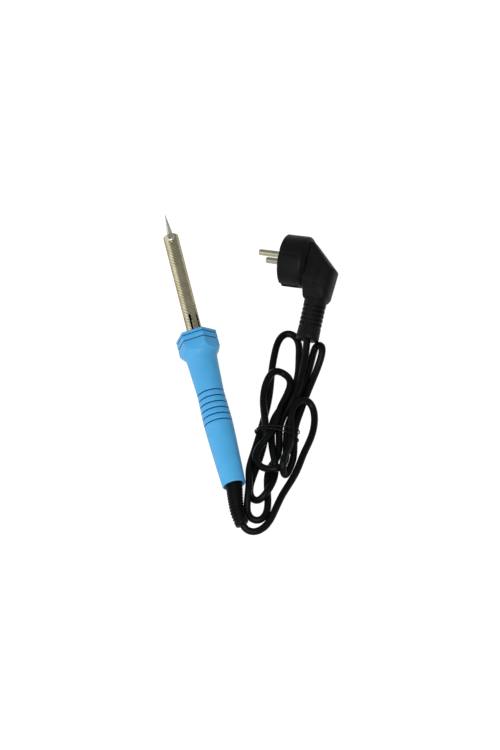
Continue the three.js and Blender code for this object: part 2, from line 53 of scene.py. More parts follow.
IRON = (Matrix.Translation((0, -0.117955, 0.00915)) @ Matrix.Rotation(radians(3.343), 4, "X")
        @ Matrix.Rotation(radians(-15), 4, "Y"))
PLUG = (Matrix.Translation((0.0832, 0.0613, 0.0186))
        @ Euler((radians(-13), radians(14), radians(151))).to_matrix().to_4x4())
BENCH = Matrix.Identity(4)

# ---- the object's own sizes in millimetres, as in the CAD ----

HANDLE_LENGTH = 130
GRIP = [(1.2, 9.2), (14, 9.85), (28, 10.45), (42, 11), (54, 11.35), (62, 11.15), (71, 10.85),
        (80, 10.65), (89, 11.05), (99, 11.6), (105, 11.85)]  # distance from the rear rim, radius
RING_GROOVES = [52.5 + 5.2 * i for i in range(6)]
HALF_RING_GROOVE = [(0.3, 0.95), (0.44, 0.7), (0.55, 0.26), (0.75, 0.1), (1.1, 0.02),
                    (1.9, 0)]  # distance from the groove's middle, depth
FLANGE_FLAT = 14.29  # from the axis to a flat of the hexagon
FLANGE_START = 113.5
FLANGE_SLOPE = 0.82  # of the chamfer behind the flange
FLANGE_ROUNDING = 0.9  # of the hexagon's corners
FLANGE_GROOVES = [122.4, 127.1]
HALF_FLANGE_GROOVE = [(0.3, 1), (0.42, 0.85), (0.48, 0.2), (0.58, 0.05), (0.75, 0)]
BARREL_RADIUS = 5.85
BARREL_END = 217.5
VENTS = 6
VENT_WIDTH = 1.9
VENT_START = 119
VENT_END = 146
DISC_SCREWS = 3
DISC_SCREW_CIRCLE = 8.5
TIP_RADIUS = 2.5
TIP_END = 236.8
TIP_SCREW_PLACE = 213.3
TIP_SCREW_TURN = 8  # degrees round the barrel from the flange's flat
PLUG_RADIUS = 19  # half the plug's front along the line of its pins
PLUG_LONG_RADIUS = 20.5  # half the front the other way, along the lead
PLUG_SHIFT = 1.2  # of the front's middle from the pins, towards the lead
PIN_RADIUS = 2.4
PIN_LENGTH = 19
PIN_SPACING = 19
PLUG_RELIEF_SETBACK = 32
CORD_RADIUS = 2.8
RELIEF_LENGTH = 44
RELIEF_RIBS = 14
RELIEF_ROOT = 5.3  # length inside the handle's bore
RELIEF_CUFF = 4  # length of the smooth end
RELIEF_ROOT_RADIUS = 5.9
RELIEF_EXIT_RADIUS = 6.7
RELIEF_END_RADIUS = 5
RELIEF_CUFF_RADIUS = 5.3
RELIEF_GROOVE_DEPTH = 1.1

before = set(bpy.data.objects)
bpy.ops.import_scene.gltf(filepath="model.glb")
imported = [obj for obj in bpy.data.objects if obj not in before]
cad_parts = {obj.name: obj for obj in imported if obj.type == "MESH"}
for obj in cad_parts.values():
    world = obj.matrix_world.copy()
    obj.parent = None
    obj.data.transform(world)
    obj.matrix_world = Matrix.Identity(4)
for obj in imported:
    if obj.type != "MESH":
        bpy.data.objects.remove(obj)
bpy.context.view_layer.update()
scene = bpy.context.scene


# ---- stage, light and camera ----

def set_floor():
    """A plain white floor that glows a little."""
    mesh = bpy.data.meshes.new("floor")
    corners = [(x * FLOOR_HALF, y * FLOOR_HALF, 0) for x, y in ((-1, -1), (1, -1), (1, 1), (-1, 1))]
    mesh.from_pydata(corners, [], [(0, 1, 2, 3)])
    floor = bpy.data.objects.new("floor", mesh)
    scene.collection.objects.link(floor)
    white = bpy.data.materials.new("floor_white")
    white.use_nodes = True
    shader = white.node_tree.nodes["Principled BSDF"]
    shader.inputs["Base Color"].default_value = (FLOOR_GREY, FLOOR_GREY, FLOOR_GREY, 1)
    shader.inputs["Roughness"].default_value = 0.9
    shader.inputs["Emission Color"].default_value = (1, 1, 1, 1)
    shader.inputs["Emission Strength"].default_value = FLOOR_GLOW
    mesh.materials.append(white)


def set_room():
    """A white room that is brighter on the left."""
    world = bpy.data.worlds.new("studio")
    world.use_nodes = True
    tree = world.node_tree
    across = tree.nodes.new("ShaderNodeSeparateXYZ")
    fade = tree.nodes.new("ShaderNodeMapRange")
    for socket, value in zip(fade.inputs[1:5], (*ROOM_FADE, *ROOM_LIGHT)):
        socket.default_value = value
    tree.links.new(tree.nodes.new("ShaderNodeTexCoord").outputs["Generated"], across.inputs[0])
    tree.links.new(across.outputs[0], fade.inputs[0])
    tree.links.new(fade.outputs[0], tree.nodes["Background"].inputs["Strength"])
    tree.nodes["Background"].inputs["Color"].default_value = (1, 1, 1, 1)
    scene.world = world
    scene.view_settings.view_transform = "Standard"


def set_lamp():
    """One square soft lamp that faces the object."""
    light = bpy.data.lights.new("key", "AREA")
    light.size = LAMP_SIZE
    light.energy = LAMP_POWER
    lamp = bpy.data.objects.new("key", light)
    lamp.location = LAMP_PLACE
    lamp.rotation_euler = (Vector(LAMP_TARGET) - Vector(LAMP_PLACE)).to_track_quat("-Z", "Y").to_euler()
    scene.collection.objects.link(lamp)


def set_camera():
    """Looks down at 62 degrees from behind the handle, a little from the left."""
    view = Vector(CAMERA_VIEW).normalized()
    lens = bpy.data.cameras.new("camera")
    lens.lens = CAMERA_LENS
    lens.sensor_width = 36
    lens.clip_end = 20
    camera = bpy.data.objects.new("camera", lens)
    camera.location = Vector(CAMERA_TARGET) - view * CAMERA_DISTANCE
    camera.rotation_euler = view.to_track_quat("-Z", "Y").to_euler()
    scene.collection.objects.link(camera)
    scene.camera = camera


set_floor()
set_room()
set_lamp()
set_camera()


# ---- mesh helpers ----

def eased(corners, closed=False, steps=4):
    """An outline with rounded corners. Each corner is (a, b), or (a, b, rounding)."""
    outline = []
    last = len(corners) - 1
    for i, corner in enumerate(corners):
        here = Vector(corner[:2])
        if len(corner) < 3 or (not closed and i in (0, last)):
            outline.append(here)
            continue
        before = Vector(corners[i - 1][:2]) - here
        after = Vector(corners[(i + 1) % len(corners)][:2]) - here
        reach = min(corner[2] / tan(before.angle(after) / 2), before.length * 0.49, after.length * 0.49)
        start = here + before.normalized() * reach
        end = here + after.normalized() * reach
        for step in range(steps + 1):
            t = step / steps
            outline.append(start * (1 - t) ** 2 + here * 2 * t * (1 - t) + end * t * t)
    return outline


def smooth_route(points, steps):
    """Points of a smooth curve through the given ones, evenly eased by the square root of the gaps."""
    points = [Vector(p) for p in points]
    points = [2 * points[0] - points[1], *points, 2 * points[-1] - points[-2]]
    route = []
    for p0, p1, p2, p3 in zip(points, points[1:], points[2:], points[3:]):
        d0, d1, d2 = sqrt((p1 - p0).length), sqrt((p2 - p1).length), sqrt((p3 - p2).length)
        leave = ((p1 - p0) / d0 - (p2 - p0) / (d0 + d1) + (p2 - p1) / d1) * d1
        arrive = ((p2 - p1) / d1 - (p3 - p1) / (d1 + d2) + (p3 - p2) / d2) * d1
        for step in range(steps):
            t = step / steps
            route.append(p1 + leave * t + (3 * (p2 - p1) - 2 * leave - arrive) * t ** 2
                         + (2 * (p1 - p2) + leave + arrive) * t ** 3)
    route.append(points[-2])
    return route


def eased_line(points, steps):
    """Points of a smooth line that the given ones pull along without quite being touched."""
    points = [Vector(p) for p in points]
    points = [2 * points[0] - points[1], *points, 2 * points[-1] - points[-2]]
    line = []
    for p0, p1, p2, p3 in zip(points, points[1:], points[2:], points[3:]):
        for step in range(steps):
            u = step / steps
            line.append((p0 * (1 - u) ** 3 + p1 * (3 * u ** 3 - 6 * u ** 2 + 4)
                         + p2 * (-3 * u ** 3 + 3 * u ** 2 + 3 * u + 1) + p3 * u ** 3) / 6)
    line.append((points[-3] + 4 * points[-2] + points[-1]) / 6)
    return line


def skin(rings, loop=False):
    """A closed surface over rings of points; with loop, the last ring joins the first."""
    bm = bmesh.new()
    rows = [[bm.verts.new(p) for p in ring] for ring in rings]
    pairs = list(zip(rows, rows[1:]))
    if loop:
        pairs.append((rows[-1], rows[0]))
    for low, high in pairs:
        for i in range(len(low)):
            j = (i + 1) % len(low)
            bm.faces.new((low[i], low[j], high[j], high[i]))
    if not loop:
        bm.faces.new(rows[0])
        bm.faces.new(rows[-1])
    return bm


def turned(outline, sides, loop=False):
    """A surface turned about Y from an outline of (radius, y)."""
    angles = [2 * pi * i / sides for i in range(sides)]
    return skin([[(r * cos(a), y, r * sin(a)) for a in angles] for r, y in outline], loop)


def tube_rings(route, radius, sides):
    """Rings of a round tube along a route, turning as little as they can."""
    rings = []
    side = None
    for i, here in enumerate(route):
        along = (route[min(i + 1, len(route) - 1)] - route[max(i - 1, 0)]).normalized()
        side = along.orthogonal() if side is None else side - along * side.dot(along)
        side.normalize()
        top = along.cross(side)
        rings.append([here + (side * cos(2 * pi * k / sides) + top * sin(2 * pi * k / sides)) * radius
                      for k in range(sides)])
    return rings


def slab(outline, low, high, rounding=0.3):
    """An outline of (x, y) raised along Z between two heights, with rounded upper and lower edges."""
    centre = sum((Vector(p) for p in outline), Vector((0, 0))) / len(outline)
    rings = []
    for z, inset in ((low, rounding), (low + rounding * 0.3, rounding * 0.3), (low + rounding, 0),
                     (high - rounding, 0), (high - rounding * 0.3, rounding * 0.3), (high, rounding)):
        rings.append([(*(Vector(p) + (centre - Vector(p)).normalized() * inset), z) for p in outline])
    return skin(rings)


def block(size, place):
    """A plain cutting block."""
    bm = bmesh.new()
    bmesh.ops.create_cube(bm, size=1, matrix=Matrix.Translation(place) @ Matrix.Diagonal((*size, 1)))
    return bm


def shade(mesh, sharp):
    """Smooth shading that breaks at edges sharper than an angle in degrees."""
    mesh.shade_smooth()
    mesh.set_sharp_from_angle(angle=radians(sharp))


def piece(name, bm, place, material, sharp=35):
    """A mesh in millimetres in its own frame, scaled to metres and put in place."""
    bmesh.ops.remove_doubles(bm, verts=bm.verts, dist=1e-4)
    bmesh.ops.recalc_face_normals(bm, faces=bm.faces)
    bmesh.ops.scale(bm, vec=(MM, MM, MM), verts=bm.verts)
    mesh = bpy.data.meshes.new(name)
    bm.to_mesh(mesh)
    bm.free()
    shade(mesh, sharp)
    obj = bpy.data.objects.new(name, mesh)
    scene.collection.objects.link(obj)
    obj.matrix_world = place
    if material:
        mesh.materials.append(material)
    return obj


def settle(obj, sharp=35):
    """Applies the object's modifiers to its mesh."""
    bpy.context.view_layer.update()
    mesh = bpy.data.meshes.new_from_object(obj.evaluated_get(bpy.context.evaluated_depsgraph_get()))
    obj.modifiers.clear()
    obj.data = mesh
    shade(mesh, sharp)
    return obj


def combine(obj, tools, operation):
    """Joins the tool meshes to the object or cuts them from it, one by one, and drops them."""
    for bm in tools:
        tool = piece("tool", bm, obj.matrix_world, None)
        change = obj.modifiers.new("combine", "BOOLEAN")
        change.operation = operation
        change.solver = "EXACT"
        change.object = tool
        settle(obj)
        bpy.data.objects.remove(tool)
    return obj


def soften(obj, width, sharp):
    """Rounds every sharp edge by a small width in millimetres."""
    bevel = obj.modifiers.new("soften", "BEVEL")
    bevel.width = width * MM
    bevel.segments = 2
    bevel.limit_method = "ANGLE"
    bevel.angle_limit = radians(sharp)
    bevel.harden_normals = False
    return settle(obj, sharp)


def fixed(obj):
    """Moves the piece's place into its mesh, so that its box is no larger than its shape."""
    obj.data.transform(obj.matrix_world)
    obj.matrix_world = BENCH
    return obj


def stands_for(obj, node, body="iron"):
    """The piece rides on its body in place of a CAD node, which is hidden."""
    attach(obj, body)
    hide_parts(node)


# ---- materials ----

class Finish:
    """A material that is built node by node from the piece's own coordinates."""

    def __init__(self, name, roughness, metallic=0.0, specular=0.5):
        self.material = bpy.data.materials.new(name)
        self.material.use_nodes = True
        self.tree = self.material.node_tree
        self.shader = self.tree.nodes["Principled BSDF"]
        self.shader.inputs["Roughness"].default_value = roughness
        self.shader.inputs["Metallic"].default_value = metallic
        self.shader.inputs["Specular IOR Level"].default_value = specular
        self.place = self.tree.nodes.new("ShaderNodeTexCoord").outputs["Object"]
        self.height = None

    def node(self, kind, outlet=0, settings=None, **inputs):
        """A new node with its settings and inputs; returns one of its outlets."""
        made = self.tree.nodes.new(kind)
        for key, value in (settings or {}).items():
            setattr(made, key, value)
        for key, value in inputs.items():
            socket = made.inputs[int(key[1:])] if key[0] == "i" and key[1:].isdigit() else made.inputs[key]
            if isinstance(value, bpy.types.NodeSocket):
                self.tree.links.new(value, socket)
            else:
                socket.default_value = value
        return made.outputs[outlet]

    def math(self, operation, a, b=0.0):
        """One sum of two values."""
        return self.node("ShaderNodeMath", settings={"operation": operation}, i0=a, i1=b)

    def noise(self, scale, detail, stretch=(1, 1, 1), rough=0.55):
        """Cloudy noise with so many bumps per metre, stretched along the piece's axes."""
        spot = self.node("ShaderNodeMapping", Vector=self.place, Scale=stretch)
        return self.node("ShaderNodeTexNoise", Vector=spot, Scale=scale, Detail=detail, Roughness=rough)

    def spread(self, value, low, high, to_low=0.0, to_high=1.0):
        """The value's range from low to high, mapped to another range."""
        return self.node("ShaderNodeMapRange", i0=value, i1=low, i2=high, i3=to_low, i4=to_high)

    def mix(self, share, a, b):
        """A blend of two colours by a share."""
        made = self.tree.nodes.new("ShaderNodeMix")
        made.data_type = "RGBA"
        for index, value in ((0, share), (6, a), (7, b)):
            if isinstance(value, bpy.types.NodeSocket):
                self.tree.links.new(value, made.inputs[index])
            else:
                made.inputs[index].default_value = value if index == 0 else (*value, 1)
        return made.outputs[2]

    def colour(self, value):
        """The surface's colour, in place of any that was set before."""
        self.tree.links.new(value, self.shader.inputs["Base Color"])

    def gloss(self, value, low, high):
        """Uneven roughness, from low to high."""
        self.tree.links.new(self.spread(value, 0.3, 0.7, low, high), self.shader.inputs["Roughness"])

    def bump(self, value, depth):
        """Raises the surface by a height in millimetres where the value is high."""
        made = self.tree.nodes.new("ShaderNodeBump")
        made.inputs["Strength"].default_value = 1
        made.inputs["Distance"].default_value = depth * MM
        self.tree.links.new(value, made.inputs["Height"])
        if self.height is not None:
            self.tree.links.new(self.height, made.inputs["Normal"])
        self.height = made.outputs["Normal"]
        self.tree.links.new(self.height, self.shader.inputs["Normal"])


def moulded(name, light, dark, roughness, grain, depth, specular=0.5):
    """Moulded plastic or rubber: cloudy colour, fine grain and patches that are rubbed smoother."""
    look = Finish(name, roughness, specular=specular)
    clouds = look.noise(90, 4)
    look.colour(look.mix(look.spread(clouds, 0.35, 0.65), dark, light))
    look.gloss(look.noise(240, 5), roughness - 0.06, roughness + 0.1)
    look.bump(look.noise(grain, 2), depth)
    return look


GLANCING_TINT = (0.3, 0.27, 0.2, 1)  # dulls what metal reflects near its outline


def metal(name, light, dark, roughness, depth, stretch=(1, 1, 1)):
    """Plated or bare metal with tool marks that are drawn out along the piece's axes."""
    look = Finish(name, roughness, metallic=1.0)
    look.shader.inputs["Specular Tint"].default_value = GLANCING_TINT
    tarnish = look.noise(160, 5)
    marks = look.noise(1500, 3, stretch)
    shade_now = look.mix(look.spread(tarnish, 0.3, 0.7), dark, light)
    look.colour(look.mix(look.spread(marks, 0.35, 0.65, 0.0, 0.22), shade_now, dark))
    look.gloss(marks, roughness - 0.08, roughness + 0.12)
    look.bump(marks, depth)
    return look


def make_blue_plastic():
    """Satin blue plastic with painted shade that turns the grooves dark navy, and a few dark specks of
    dirt on the grip.
    """
    look = moulded("blue_plastic", (0.052, 0.27, 0.50), (0.046, 0.25, 0.475), 0.42, 2600, 0.012, 0.22)
    base = look.shader.inputs["Base Color"].links[0].from_socket
    specks = look.node("ShaderNodeTexVoronoi", Vector=look.place, Scale=130.0, Randomness=1.0)
    rare = look.node("ShaderNodeTexVoronoi", outlet=1, Vector=look.place, Scale=130.0, Randomness=1.0)
    chosen = look.math("GREATER_THAN", look.node("ShaderNodeSeparateColor", i0=rare), 0.93)
    dirt = look.math("MULTIPLY", look.math("LESS_THAN", specks, 0.055), chosen)
    # Painted shade: the "depth" attribute marks the grooves of the grip and the flange, where the blue is
    # darkened to dark navy.
    groove_shade = look.node("ShaderNodeAttribute", outlet=2, settings={"attribute_name": "depth"})
    base = look.mix(look.math("MULTIPLY", dirt, 0.75), base, (0.01, 0.03, 0.06))
    look.colour(look.mix(groove_shade, base, (0.004, 0.055, 0.21)))
    return look.material


def make_barrel_metal():
    """Warm nickel on a turned tube: fine rings, slanting lathe marks with painted shade along their
    stripes, and heat-tinted patches.
    """
    look = metal("barrel_nickel", (0.56, 0.51, 0.36), (0.4, 0.36, 0.24), 0.22, 0.004, (0.25, 1, 0.25))
    x, y, z = (look.node("ShaderNodeSeparateXYZ", outlet=i, i0=look.place) for i in range(3))
    around = look.math("ARCTAN2", z, x)
    slant = look.math("ADD", look.math("MULTIPLY", y, 2300.0), look.math("MULTIPLY", around, -13.0))
    wave = look.math("SINE", slant)
    patches = look.spread(look.noise(120, 2), 0.35, 0.65, 0.3, 1.0)
    base = look.shader.inputs["Base Color"].links[0].from_socket
    # Painted shade: dark stripes along the slanting lathe marks, stronger in patches; the marks' bump
    # itself is real.
    painted_stripe_shade = look.math("MULTIPLY", look.spread(wave, -0.2, 0.6, 0.0, 0.75), patches)
    look.colour(look.mix(painted_stripe_shade, base, (0.17, 0.15, 0.09)))
    look.bump(look.math("MULTIPLY", wave, patches), 0.02)
    return look.material


def make_lead_rubber():
    """Extruded black rubber with a dull bloom, faint drawn lines and a little dust."""
    look = moulded("lead_rubber", (0.0026, 0.0028, 0.0028), (0.0012, 0.0014, 0.0014), 0.34, 1400, 0.01,
                   0.07)
    base = look.shader.inputs["Base Color"].links[0].from_socket
    dust = look.spread(look.noise(900, 6, rough=0.75), 0.62, 0.8, 0.0, 0.1)
    look.colour(look.mix(dust, base, (0.03, 0.03, 0.029)))
    return look.material


def make_relief_rubber():
    """Moulded black rubber, duller than the lead."""
    return moulded("relief_rubber", (0.0028, 0.003, 0.003), (0.0014, 0.0015, 0.0015), 0.46, 1800, 0.015,
                   0.06).material


def make_plug_plastic():
    """Black plastic with a fine spark-eroded texture."""
    look = moulded("plug_plastic", (0.0045, 0.0047, 0.0046), (0.0028, 0.003, 0.0029), 0.46, 3200, 0.02,
                   0.07)
    look.bump(look.noise(1200, 3), 0.012)
    return look.material


def make_mica():
    """Flaky golden mica sheet."""
    look = moulded("mica_sheet", (0.62, 0.5, 0.3), (0.36, 0.27, 0.14), 0.35, 900, 0.02)
    flakes = look.node("ShaderNodeTexVoronoi", outlet=1, Vector=look.place, Scale=500.0)
    base = look.shader.inputs["Base Color"].links[0].from_socket
    look.colour(look.mix(0.25, base, flakes))
    return look.material


def make_braid():
    """Braided glass fibre: two sets of slanting threads."""
    look = moulded("glass_braid", (0.16, 0.15, 0.13), (0.09, 0.08, 0.065), 0.75, 2400, 0.01)
    x, y, z = (look.node("ShaderNodeSeparateXYZ", outlet=i, i0=look.place) for i in range(3))
    across = look.math("ADD", x, z)
    one = look.math("SINE", look.math("MULTIPLY", look.math("ADD", y, across), 9000.0))
    other = look.math("SINE", look.math("MULTIPLY", look.math("SUBTRACT", y, across), 9000.0))
    look.bump(look.math("MAXIMUM", one, other), 0.05)
    return look.material


def make_earth_insulation():
    """Green insulation with a yellow stripe."""
    look = moulded("earth_insulation", (0.02, 0.22, 0.05), (0.015, 0.16, 0.04), 0.45, 1500, 0.01)
    base = look.shader.inputs["Base Color"].links[0].from_socket
    x, y = (look.node("ShaderNodeSeparateXYZ", outlet=i, i0=look.place) for i in range(2))
    slant = look.math("MULTIPLY", look.math("ADD", x, y), 700.0)
    stripe = look.math("GREATER_THAN", look.math("SINE", slant), 0.3)
    look.colour(look.mix(stripe, base, (0.75, 0.62, 0.03)))
    return look.material


BLUE = make_blue_plastic()
BARREL_METAL = make_barrel_metal()
BURNT_STEEL = metal("burnt_steel", (0.05, 0.045, 0.04), (0.02, 0.018, 0.017), 0.6, 0.01,
                    (1, 0.3, 1)).material
TIP_METAL = metal("tip_iron", (0.68, 0.67, 0.57), (0.54, 0.53, 0.45), 0.4, 0.01, (1, 0.3, 1)).material
SCREW_STEEL = metal("screw_steel", (0.6, 0.58, 0.51), (0.42, 0.4, 0.35), 0.22, 0.004).material
PLAIN_STEEL = metal("zinc_steel", (0.6, 0.6, 0.58), (0.42, 0.43, 0.42), 0.36, 0.008, (1, 0.2, 1)).material
PIN_NICKEL = metal("pin_nickel", (0.46, 0.43, 0.31), (0.32, 0.3, 0.22), 0.2, 0.004).material
# Painted shade: the earth clips' metal is darkened almost to black, far darker than tinned brass, to stand
# in for the shade at the plug's underside.
SHADED_CLIP_METAL = metal("tinned_brass_painted_shade", (0.06, 0.052, 0.038), (0.035, 0.03, 0.022), 0.5, 0.008).material
BRASS = metal("plain_brass", (0.78, 0.6, 0.28), (0.55, 0.4, 0.17), 0.3, 0.008, (1, 0.3, 1)).material
HEATER_WIRE = metal("heater_wire", (0.4, 0.37, 0.33), (0.2, 0.17, 0.15), 0.5, 0.01).material
CERAMIC = moulded("fired_ceramic", (0.86, 0.82, 0.74), (0.76, 0.71, 0.62), 0.6, 2200, 0.02).material
MICA = make_mica()
BRAID = make_braid()
LEAD_RUBBER = make_lead_rubber()
RELIEF_RUBBER = make_relief_rubber()
PLUG_PLASTIC = make_plug_plastic()
TIE_PLASTIC = moulded("tie_plastic", (0.004, 0.0042, 0.0042), (0.002, 0.002, 0.002), 0.4, 1800, 0.01,
                      0.1).material
LIVE_INSULATION = moulded("live_insulation", (0.16, 0.06, 0.025), (0.12, 0.04, 0.02), 0.45, 1500,
                          0.01).material
NEUTRAL_INSULATION = moulded("neutral_insulation", (0.02, 0.1, 0.4), (0.015, 0.07, 0.3), 0.45, 1500,
                             0.01).material
EARTH_INSULATION = make_earth_insulation()

# CAD nodes that show as they are.
INNER_LOOKS = {
    "heater_former": CERAMIC, "heater_winding": HEATER_WIRE, "mica_wrap": MICA,
    "rear_insulator": CERAMIC, "heater_lead_live": HEATER_WIRE, "heater_lead_neutral": HEATER_WIRE,
    "lead_sleeve_live": BRAID, "lead_sleeve_neutral": BRAID, "crimp_live": BRASS, "crimp_neutral": BRASS,
    "live_conductor": LIVE_INSULATION, "neutral_conductor": NEUTRAL_INSULATION,
    "earth_conductor": EARTH_INSULATION, "earth_band": PLAIN_STEEL, "lead_jacket_end": LEAD_RUBBER,
    "lead_ferrule": BRASS,
}
for node_name, look in INNER_LOOKS.items():
    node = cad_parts[node_name]
    node.data.materials.clear()
    node.data.materials.append(look)


# ---- lead, strain relief and tie ----

# Points in metres that pull the lead's centre line along, from the strain relief to the plug.
LEAD_ROUTE = [
    (-0.0007, -0.1516, 0.0061), (0.0004, -0.1546, 0.0052), (0.004, -0.1575, 0.0037),
    (0.0105, -0.158, 0.0032), (0.019, -0.1535, 0.0032), (0.027, -0.1425, 0.0035),
    (0.0345, -0.1315, 0.0032), (0.0435, -0.1225, 0.0032), (0.052, -0.1125, 0.0032),
    (0.0585, -0.101, 0.0032), (0.0665, -0.091, 0.0032), (0.073, -0.0795, 0.0032),
    (0.076, -0.0665, 0.0032), (0.074, -0.059, 0.006), (0.0685, -0.0575, 0.0105),
    (0.0605, -0.061, 0.0105), (0.0555, -0.071, 0.009), (0.053, -0.0845, 0.008), (0.049, -0.0965, 0.01),
    (0.043, -0.1055, 0.0165), (0.0395, -0.1125, 0.0175), (0.039, -0.1175, 0.012),
    (0.0405, -0.1175, 0.0055), (0.0445, -0.1125, 0.0032), (0.051, -0.103, 0.0032),
    (0.054, -0.09, 0.0032), (0.0575, -0.0775, 0.0055), (0.064, -0.0665, 0.0032),
    (0.0705, -0.0555, 0.0032), (0.0775, -0.0445, 0.0032), (0.085, -0.034, 0.0045),
    (0.092, -0.024, 0.01), (0.0945, -0.0165, 0.013), (0.09, -0.011, 0.005), (0.0855, -0.0195, 0.004),
    (0.0795, -0.032, 0.0032), (0.0725, -0.0425, 0.0032), (0.0655, -0.053, 0.0032),
    (0.0595, -0.0645, 0.0032), (0.052, -0.075, 0.005), (0.0485, -0.0875, 0.0032),
    (0.0455, -0.1005, 0.0032), (0.0405, -0.111, 0.0095), (0.033, -0.1135, 0.0125),
    (0.024, -0.1085, 0.0085), (0.02, -0.0995, 0.0085), (0.0255, -0.0895, 0.0085),
    (0.037, -0.083, 0.011), (0.044, -0.0735, 0.0085), (0.049, -0.061, 0.0085), (0.058, -0.051, 0.009),
    (0.064, -0.04, 0.0075), (0.0625, -0.0315, 0.0035), (0.0575, -0.0275, 0.0055),
    (0.0515, -0.028, 0.0095), (0.044, -0.036, 0.0075), (0.039, -0.0485, 0.0065),
    (0.037, -0.0615, 0.009), (0.0355, -0.0745, 0.009), (0.0315, -0.0855, 0.0035),
    (0.0255, -0.0965, 0.0032), (0.0185, -0.108, 0.0032), (0.0115, -0.1195, 0.0032),
    (0.0105, -0.128, 0.0032), (0.0145, -0.133, 0.0032), (0.02, -0.1325, 0.0085),
    (0.0275, -0.125, 0.009), (0.0335, -0.1145, 0.0032), (0.0355, -0.106, 0.009),
    (0.0355, -0.0965, 0.008), (0.0375, -0.084, 0.0032), (0.0405, -0.071, 0.0055),
    (0.048, -0.0605, 0.0032), (0.0585, -0.0525, 0.0032), (0.0665, -0.0425, 0.0032),
    (0.072, -0.0305, 0.0032), (0.075, -0.018, 0.0032), (0.0785, -0.006, 0.0032), (0.076, 0.003, 0.0032),
    (0.069, 0.0055, 0.0032), (0.062, -0.0005, 0.0032), (0.0565, -0.0125, 0.0032),
    (0.0515, -0.025, 0.0032), (0.048, -0.037, 0.0032), (0.0435, -0.0495, 0.0032),
    (0.038, -0.061, 0.0032), (0.032, -0.0725, 0.004), (0.026, -0.084, 0.0032), (0.0195, -0.095, 0.0032),
    (0.014, -0.1065, 0.007), (0.012, -0.119, 0.01), (0.0075, -0.131, 0.0075), (0.0045, -0.1405, 0.0032),
    (0.0075, -0.1475, 0.0032), (0.0135, -0.1495, 0.0032), (0.02, -0.1445, 0.0032),
    (0.0235, -0.133, 0.0032), (0.0255, -0.119, 0.0032), (0.0295, -0.107, 0.0032),
    (0.0395, -0.0995, 0.0032), (0.043, -0.088, 0.0035), (0.0455, -0.0745, 0.005),
    (0.0525, -0.064, 0.004), (0.0615, -0.0555, 0.0085), (0.0695, -0.045, 0.009),
    (0.0745, -0.033, 0.0075), (0.0795, -0.021, 0.0085), (0.0835, -0.0095, 0.0125),
]

# Centre lines in millimetres, of the strain relief and of the tie's two turns round the bundle.
RELIEF_PATH = [(0, -109.7, 9.6), (0, -117.7, 9.2), (-1, -125, 8.9), (-2.1, -133, 8.3),
               (-2.6, -141, 7.4), (-2, -147, 6.7), (-1, -150.9, 6.3)]

TIE_TURNS = [(27, -73.5, 3), (27.5, -73.8, 7), (30.5, -74.5, 12), (37, -76, 13.8), (45, -78.3, 13.8),
             (53, -80.5, 13.4), (58, -81.8, 11), (60, -82.3, 6), (59.4, -82.1, 1.5), (55, -81, 0.7),
             (44, -78, 0.7), (33, -75, 0.7), (27.6, -74.6, 2.2), (27.2, -75.2, 7), (30.8, -76.4, 12.6),
             (37, -78.6, 14.4), (45, -82, 14.2), (52, -85.4, 12.4), (56.6, -87.4, 8)]


def make_lead():
    """The round rubber lead as one curve."""
    route = eased_line(LEAD_ROUTE, 9)
    curve = bpy.data.curves.new("lead_tube", "CURVE")
    curve.dimensions = "3D"
    curve.bevel_depth = CORD_RADIUS * MM
    curve.bevel_resolution = 5
    curve.use_fill_caps = True
    spline = curve.splines.new("POLY")
    spline.points.add(len(route) - 1)
    for point, place in zip(spline.points, route):
        point.co = (*place, 1)
    obj = bpy.data.objects.new("lead_cable", curve)
    scene.collection.objects.link(obj)
    curve.materials.append(LEAD_RUBBER)
    length = sum((b - a).length for a, b in zip(route, route[1:]))
    return obj, length


def relief_groove(s, angle):
    """Depth of the ribs' grooves at a distance along the relief and an angle round it."""
    ribbed = RELIEF_LENGTH - RELIEF_ROOT - RELIEF_CUFF
    if not 0 < s - RELIEF_ROOT < ribbed:
        return 0
    share = (s - RELIEF_ROOT) / ribbed * RELIEF_RIBS % 1
    across = min(max((share - 0.3) / 0.22, 0), 1) * min(max((1 - share) / 0.16, 0), 1)
    beside_spine = min(max((abs(cos(angle)) - 0.22) / 0.12, 0), 1)
    return RELIEF_GROOVE_DEPTH * across * beside_spine


def relief_radius(s):
    """Radius of the relief over its ribs, at a distance along it."""
    if s < RELIEF_ROOT:
        return RELIEF_ROOT_RADIUS
    if s > RELIEF_LENGTH - RELIEF_CUFF:
        return RELIEF_CUFF_RADIUS - max(0, s - RELIEF_LENGTH + 0.6) * 0.9
    share = (s - RELIEF_ROOT) / (RELIEF_LENGTH - RELIEF_ROOT)
    return RELIEF_EXIT_RADIUS + (RELIEF_END_RADIUS - RELIEF_EXIT_RADIUS) * share


